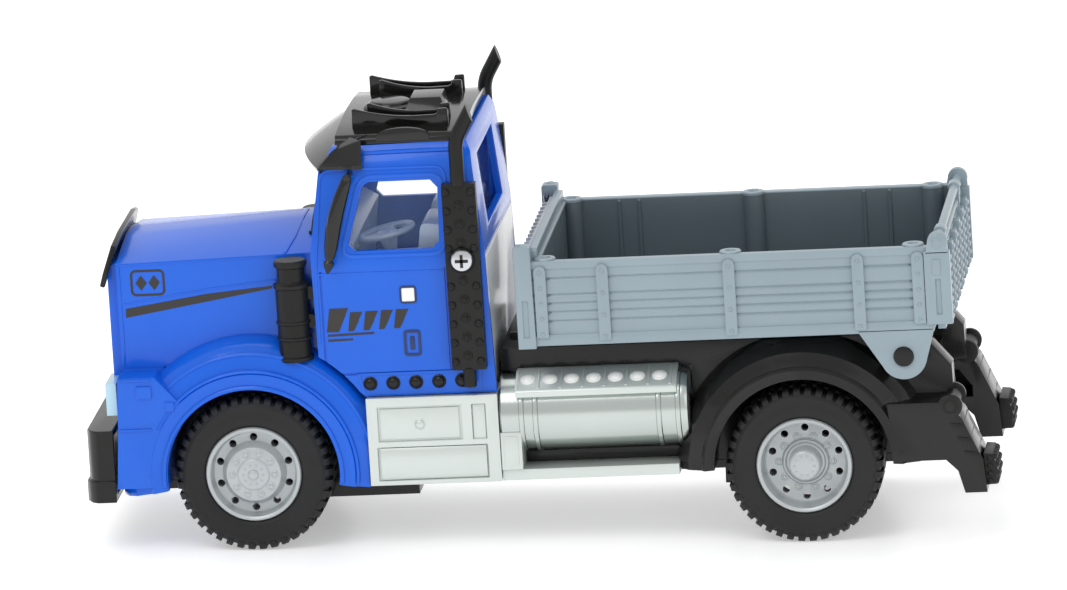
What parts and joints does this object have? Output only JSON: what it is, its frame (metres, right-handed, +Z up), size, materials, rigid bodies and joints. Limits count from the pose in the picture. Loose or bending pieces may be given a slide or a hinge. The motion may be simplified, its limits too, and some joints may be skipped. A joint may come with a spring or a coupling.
{
  "type": "toy dump truck",
  "caption": "Toy dump truck with a long-hood cab, silver tanks, black side markers, a tipping bed with a swinging tailgate and a friction flywheel drive.",
  "frame": {"origin": "on the floor, at the middle of the truck's box", "axes": "+X runs to the tailgate end, +Y to the truck's right side, +Z up"},
  "size_m": [0.2094, 0.0732, 0.1035],
  "materials": {
    "cab_blue_plastic": "moulded blue ABS with a light gloss",
    "black_plastic": "moulded black ABS, satin to glossy",
    "silver_plastic": "silver coloured ABS with a fine metallic grain",
    "bed_grey_plastic": "blue-grey ABS, satin",
    "clear_plastic": "clear polystyrene glazing",
    "lamp_clear_plastic": "clear fluted lamp lenses over a bright back",
    "interior_plastic": "pale blue-grey ABS",
    "steel": "zinc plated steel",
    "rim_silver": "silver coloured ABS",
    "tyre_rubber": "soft black PVC rubber",
    "gear_plastic": "natural acetal"
  },
  "bodies": {
    "chassis": {"cab_shell": "cab_blue_plastic", "hood_fenders": "cab_blue_plastic", "glazing": "clear_plastic", "interior": "interior_plastic", "steering_wheel": "black_plastic", "seats": "interior_plastic", "cab_back_panel": "silver_plastic", "grille": "silver_plastic", "headlights": "lamp_clear_plastic", "fog_lamps": "lamp_clear_plastic", "bug_deflector": "black_plastic", "front_bumper": "black_plastic", "roof_fairing": "black_plastic", "side_markers": "black_plastic", "exhaust_left": "black_plastic", "exhaust_right": "black_plastic", "exhaust_screws": "steel", "air_cleaner_left": "black_plastic", "air_cleaner_right": "black_plastic", "mirror_left": "black_plastic", "mirror_right": "black_plastic", "side_box_left": "silver_plastic", "side_box_right": "silver_plastic", "fuel_tank_left": "silver_plastic", "fuel_tank_right": "silver_plastic", "chassis": "black_plastic", "base_plate": "black_plastic", "base_screws": "steel", "tail_lenses": "black_plastic", "motor_case": "black_plastic", "motor_cover": "black_plastic", "pivot_pins": "black_plastic"},
    "front_wheels": {"front_axle": "steel", "rim_front_left": "rim_silver", "rim_front_right": "rim_silver", "tyre_front_left": "tyre_rubber", "tyre_front_right": "tyre_rubber"},
    "rear_wheels": {"rear_axle": "steel", "rim_rear_left": "rim_silver", "rim_rear_right": "rim_silver", "tyre_rear_left": "tyre_rubber", "tyre_rear_right": "tyre_rubber", "axle_gear": "gear_plastic"},
    "idler": {"idler_gear": "gear_plastic"},
    "flywheel": {"flywheel": "steel"},
    "bed": {"load_bed": "bed_grey_plastic"},
    "tailgate": {"tailgate": "bed_grey_plastic"}
  },
  "joints": [
    {"name": "front_axle_spin", "type": "hinge", "parent": "chassis", "child": "front_wheels", "pos_m": [-0.0659, 0, 0.018], "axis": [0, 1, 0], "continuous": true},
    {"name": "rear_axle_spin", "type": "hinge", "parent": "chassis", "child": "rear_wheels", "pos_m": [0.0601, 0, 0.018], "axis": [0, 1, 0], "continuous": true},
    {"name": "idler_spin", "type": "hinge", "parent": "chassis", "child": "idler", "pos_m": [0.05485, 0, 0.02709], "axis": [0, 1, 0], "continuous": true},
    {"name": "flywheel_spin", "type": "hinge", "parent": "chassis", "child": "flywheel", "pos_m": [0.04834, 0, 0.03256], "axis": [0, 1, 0], "continuous": true},
    {"name": "bed_tilt", "type": "hinge", "parent": "chassis", "child": "bed", "pos_m": [0.0837, 0, 0.04358], "axis": [0, 1, 0], "range_deg": [0, 48]},
    {"name": "tailgate_swing", "type": "hinge", "parent": "bed", "child": "tailgate", "pos_m": [0.0921, 0, 0.07018], "axis": [0, -1, 0], "range_deg": [0, 60]}
  ],
  "couplings": [
    {"joint": "idler_spin", "follows": "rear_axle_spin", "ratio": -3.2},
    {"joint": "flywheel_spin", "follows": "rear_axle_spin", "ratio": 7.68}
  ]
}
